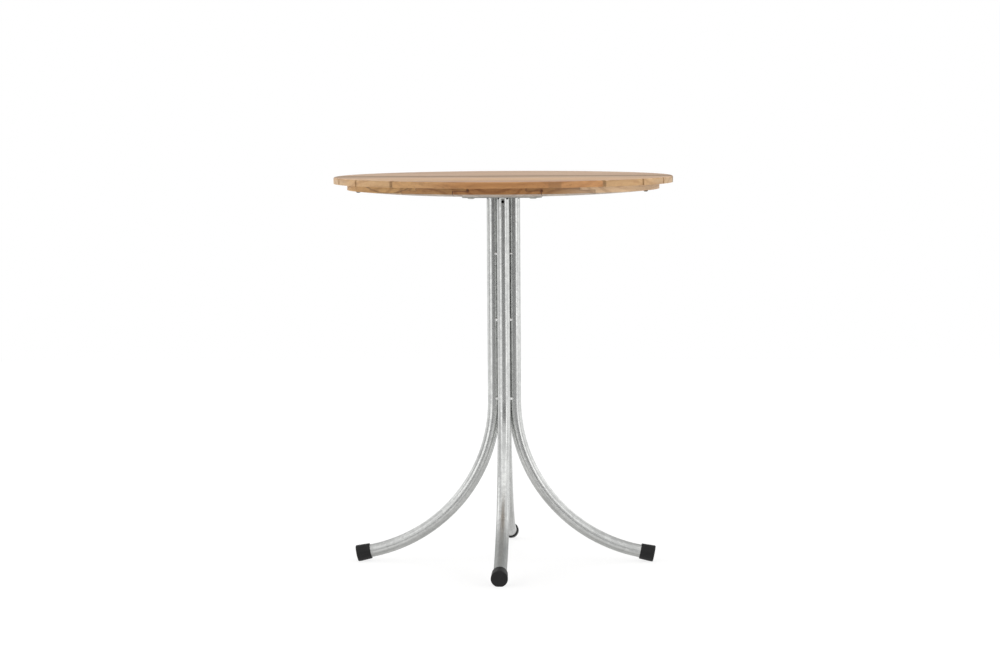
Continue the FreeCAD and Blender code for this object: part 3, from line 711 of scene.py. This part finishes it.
def foot_caps(material):
    """Moulded rubber caps with a rounded mouth and a soft end, flat where they stand."""
    base = 0.016
    mouth = 0.015
    bore = TUBE_RADIUS + 0.0001
    length = 0.0275
    end = 0.0035
    soft = 0.0021
    lip = 0.0009
    cad_round = 0.002
    flat_depth = 0.001
    steps = 6
    round_sides = 64

    # The outline, from the middle of the closed end round the mouth and into the bore.
    profile = [(0.0, 0.0), (base - 3 * soft, 0.0)]
    for step in range(steps + 1):
        angle = math.radians(90 * step / steps)
        profile.append((base - soft + soft * math.sin(angle), soft - soft * math.cos(angle)))
    for step in range(1, steps):
        share = step / steps
        profile.append((base + (mouth - base) * share, soft + (length - lip - soft) * share))
    for step in range(steps + 1):
        angle = math.radians(180 * step / steps)
        profile.append((mouth - lip + lip * math.cos(angle), length - lip + lip * math.sin(angle)))
    profile += [(bore, length - 2 * lip), (bore, end), (0.0, end)]

    # Where the closed end lies, and which way the cap points.
    tilt = math.pi / 2 - BEND_ANGLE
    end_height = (base - cad_round) * math.sin(BEND_ANGLE) - cad_round * math.cos(BEND_ANGLE)
    end_height += cad_round - flat_depth
    end_reach = COLUMN_RADIUS + BEND_RADIUS * (1 - math.cos(BEND_ANGLE))
    end_reach += (FOOT_STRAIGHT + end) * math.sin(BEND_ANGLE)
    centre = Vector((end_reach, 0.0, end_height))
    inward = Vector((-math.cos(tilt), 0.0, math.sin(tilt)))
    upward = Vector((math.sin(tilt), 0.0, math.cos(tilt)))
    aside = Vector((0.0, 1.0, 0.0))

    for label, quarter in QUARTERS:
        def build(shapes):
            rings = []
            for radius, distance in profile:
                sides = round_sides if radius else 1
                ring = []
                for side in range(sides):
                    angle = 2 * math.pi * side / sides
                    point = centre + inward * distance
                    point += (upward * math.sin(angle) + aside * math.cos(angle)) * radius
                    point.z = max(point.z, 0.0)
                    ring.append(turned(point, quarter))
                rings.append(ring)
            skin(shapes, rings)

        node = f"foot_cap_{label}"
        name = f"rubber_{node}"
        new_piece(name, mesh_from(build, name), material, node)


def dress_nodes():
    """Give the CAD nodes that stay their materials. No two slats are alike, and one leg has a dull foot
    that is darker partly as painted shade.
    """
    for number in range(1, SLAT_COUNT + 1):
        middle = (number - (SLAT_COUNT + 1) / 2) * SLAT_PITCH
        tone = 1 + 0.05 * math.sin(2.1 * number) + (MIDDLE_SLAT_TONE if number == MIDDLE_SLAT else 0.0)
        colours = []
        for written in FRONT_SLAT_COLOURS if number == FRONT_SLAT else SLAT_COLOURS:
            colours.append([part * tone for part in srgb(*written)[:3]] + [1.0])
        dress(f"slat_{number}", wood(f"slat_wood_{number}", number, middle, False, *colours))
    for number, (label, middle, light, dark) in enumerate(BOARDS, start=LEFT_BOARD):
        dress(label, wood(f"board_wood_{number}", number, middle, True, srgb(*light), srgb(*dark)))
    # The plate's zinc is darkened a little towards a dull grey.
    dress("mounting_plate", zinc("plate_zinc", smoothest=0.45, darkening=0.3))
    steel = zinc("zinc")
    dull_shaded_foot_zinc = zinc("front_zinc", foot_dullness_and_shade=0.7)
    for label, _ in QUARTERS:
        dress(f"leg_{label}", dull_shaded_foot_zinc if label == "front" else steel)


def seen_directly(graph):
    """1 for a ray from the camera, or one that metal mirrors or glass lets through."""
    path = graph.add("ShaderNodeLightPath").outputs
    mirrored = graph.math("MAXIMUM", path["Is Glossy Ray"], path["Is Transmission Ray"])
    return graph.math("MAXIMUM", path["Is Camera Ray"], mirrored)


def add_stage(name, mesh, material):
    """Put a mesh into the scene that belongs to the studio, and not to the table."""
    mesh.materials.append(material)
    item = bpy.data.objects.new(name, mesh)
    bpy.context.scene.collection.objects.link(item)
    return item


def floor():
    """A wide white floor that keeps the table's shadow, and can be seen through from below. It glows a
    little more away from the table."""
    half = 4.0
    front = -1.6
    mesh = bpy.data.meshes.new("floor")
    corners = [(-half, front, 0), (half, front, 0), (half, half, 0), (-half, half, 0)]
    mesh.from_pydata(corners, [], [(0, 1, 2, 3)])
    material, graph = new_material("floor_white")
    bounce = graph.add("ShaderNodeBsdfDiffuse", {"Color": srgb(232, 232, 232)}).outputs[0]
    shadowed = graph.add("ShaderNodeBsdfDiffuse", {"Color": srgb(150, 150, 150)}).outputs[0]
    local = graph.add("ShaderNodeTexCoord").outputs["Object"]
    away = graph.add("ShaderNodeVectorMath", {0: local}, operation="LENGTH").outputs["Value"]
    strength = graph.remap(away, 0.6, 2.6, 0.8, 0.9)
    glow = graph.add("ShaderNodeEmission", {"Color": WHITE, "Strength": strength}).outputs[0]
    shown = graph.add("ShaderNodeAddShader")
    graph.feed(shown.inputs[0], shadowed)
    graph.feed(shown.inputs[1], glow)
    either = graph.add("ShaderNodeMixShader", {"Fac": seen_directly(graph)})
    graph.feed(either.inputs[1], bounce)
    graph.feed(either.inputs[2], shown.outputs[0])
    below = graph.add("ShaderNodeNewGeometry").outputs["Backfacing"]
    one_sided = graph.add("ShaderNodeMixShader", {"Fac": below})
    graph.feed(one_sided.inputs[1], either.outputs[0])
    graph.feed(one_sided.inputs[2], graph.add("ShaderNodeBsdfTransparent").outputs[0])
    graph.add("ShaderNodeOutputMaterial", {"Surface": one_sided.outputs[0]})
    add_stage("floor", mesh, material)


def mirrored_panel(name, points, faces, low_strength, high_strength):
    """A plain panel of the studio that only polished surfaces show, as one of their bands. Its
    strength may change with height, near the level of the floor."""
    reach = 0.4
    mesh = bpy.data.meshes.new(name)
    mesh.from_pydata(points, [], faces)
    material, graph = new_material(name)
    height = graph.split(graph.add("ShaderNodeTexCoord").outputs["Object"])["Z"]
    strength = graph.remap(height, -reach, reach, low_strength, high_strength)
    glow = graph.add("ShaderNodeEmission", {"Color": WHITE, "Strength": strength}).outputs[0]
    graph.add("ShaderNodeOutputMaterial", {"Surface": glow})
    item = add_stage(name, mesh, material)
    item.visible_camera = False
    item.visible_diffuse = False
    item.visible_shadow = False


def panels():
    """Upright screens round the table, and sloping ceilings, dim behind the table and bright in front."""
    distance = 6.5
    count = 8
    # The first and last angle of each screen, round from the camera's side, its low and high edge, and its
    # strength below and above.
    screens = (
        ("dark_screen", -30, 31, -0.8, 1.2, 0.35, 0.12),
        ("left_panel", -60, -41, -0.8, 3.0, 1.6, 1.6),
        ("left_gap", -92, -70, -0.8, 3.0, 0.45, 0.45),
        ("right_panel", 36, 56, -0.8, 3.0, 1.6, 1.6),
        ("right_gap", 60, 74, -0.8, 3.0, 0.7, 0.7),
        ("right_edge_panel", 78, 102, -0.8, 3.0, 1.35, 1.35),
        ("left_back_panel", -155, -97, 2.0, 4.2, 1.45, 1.45),
        ("right_back_panel", 112, 155, 2.0, 4.2, 1.5, 1.5),
    )
    for name, first, last, low, high, *strengths in screens:
        points = []
        for step in range(count + 1):
            angle = math.radians(first + (last - first) * step / count) + CAMERA_TURN
            points += [(distance * math.sin(angle), -distance * math.cos(angle), z) for z in (low, high)]
        faces = [(2 * step, 2 * step + 2, 2 * step + 3, 2 * step + 1) for step in range(count)]
        mirrored_panel(name, points, faces, *strengths)
    # Half of each ceiling's width, the place and height of its lower and upper edge, and its strength.
    ceilings = (
        ("back_ceiling", 1.6, 3.6, 1.9, 1.6, 4.6, 0.45),
        ("front_ceiling", 4.0, -3.4, 2.6, -1.9, 3.5, 1.4),
    )
    for name, half, first, first_height, last, last_height, strength in ceilings:
        points = [(-half, first, first_height), (half, first, first_height), (half, last, last_height),
                  (-half, last, last_height)]
        mirrored_panel(name, points, [(0, 1, 2, 3)], strength, strength)


def softbox(name, degrees, distance, height, size, power):
    """A soft lamp that faces the table, its place given as an angle round from the camera's side."""
    data = bpy.data.lights.new(name, "AREA")
    data.shape = "RECTANGLE"
    data.size, data.size_y = size
    data.energy = power
    item = bpy.data.objects.new(name, data)
    bpy.context.scene.collection.objects.link(item)
    angle = math.radians(degrees) + CAMERA_TURN
    item.location = (distance * math.sin(angle), -distance * math.cos(angle), height)
    aim = Vector(LAMP_AIM) - item.location
    item.rotation_euler = aim.to_track_quat("-Z", "Y").to_euler()
    item.visible_camera = False
    item.visible_glossy = False


def studio():
    """White surroundings that light the table evenly, with a white background, and soft lamps."""
    world = bpy.data.worlds.new("studio")
    bpy.context.scene.world = world
    world.use_nodes = True
    graph = Graph(world.node_tree)
    shown = graph.mix(seen_directly(graph), (SKY_LEVEL, SKY_LEVEL, SKY_LEVEL, 1), WHITE)
    back = graph.add("ShaderNodeBackground", {"Color": shown, "Strength": 1.0})
    graph.add("ShaderNodeOutputWorld", {"Surface": back.outputs[0]})
    softbox("left_lamp", degrees=-74, distance=2.6, height=1.1, size=(2.8, 2.4), power=41.0)
    softbox("right_lamp", degrees=66, distance=2.6, height=1.1, size=(2.6, 2.4), power=37.0)
    softbox("top_lamp", degrees=180, distance=1.2, height=3.2, size=(3.0, 3.0), power=31.0)


def camera():
    """The photograph's camera. The table stood turned a little, which the camera's place allows for."""
    heading = CAMERA_YAW - CAMERA_TURN
    ahead = Vector((
        math.sin(heading) * math.cos(CAMERA_PITCH), math.cos(heading) * math.cos(CAMERA_PITCH),
        -math.sin(CAMERA_PITCH),
    ))
    level = Vector((math.cos(heading), -math.sin(heading), 0))
    upright = level.cross(ahead)
    right = level * math.cos(CAMERA_ROLL) + upright * math.sin(CAMERA_ROLL)
    up = upright * math.cos(CAMERA_ROLL) - level * math.sin(CAMERA_ROLL)
    data = bpy.data.cameras.new("camera")
    data.sensor_fit = "HORIZONTAL"
    data.sensor_width = SENSOR_WIDTH
    data.lens = FOCAL_PIXELS * SENSOR_WIDTH / IMAGE_WIDTH
    item = bpy.data.objects.new("camera", data)
    bpy.context.scene.collection.objects.link(item)
    place = Vector((
        CAMERA_DISTANCE * math.sin(CAMERA_TURN), -CAMERA_DISTANCE * math.cos(CAMERA_TURN), CAMERA_HEIGHT,
    ))
    item.matrix_world = Matrix.Translation(place) @ Matrix((right, up, -ahead)).transposed().to_4x4()
    bpy.context.scene.camera = item


dress_nodes()
screws()
weld_beads(weld_metal("weld_metal"))
spacer_welds(weld_metal("spacer_metal"))
foot_caps(rubber("cap_rubber"))
floor()
panels()
studio()
camera()
bpy.context.scene.view_settings.view_transform = "Standard"
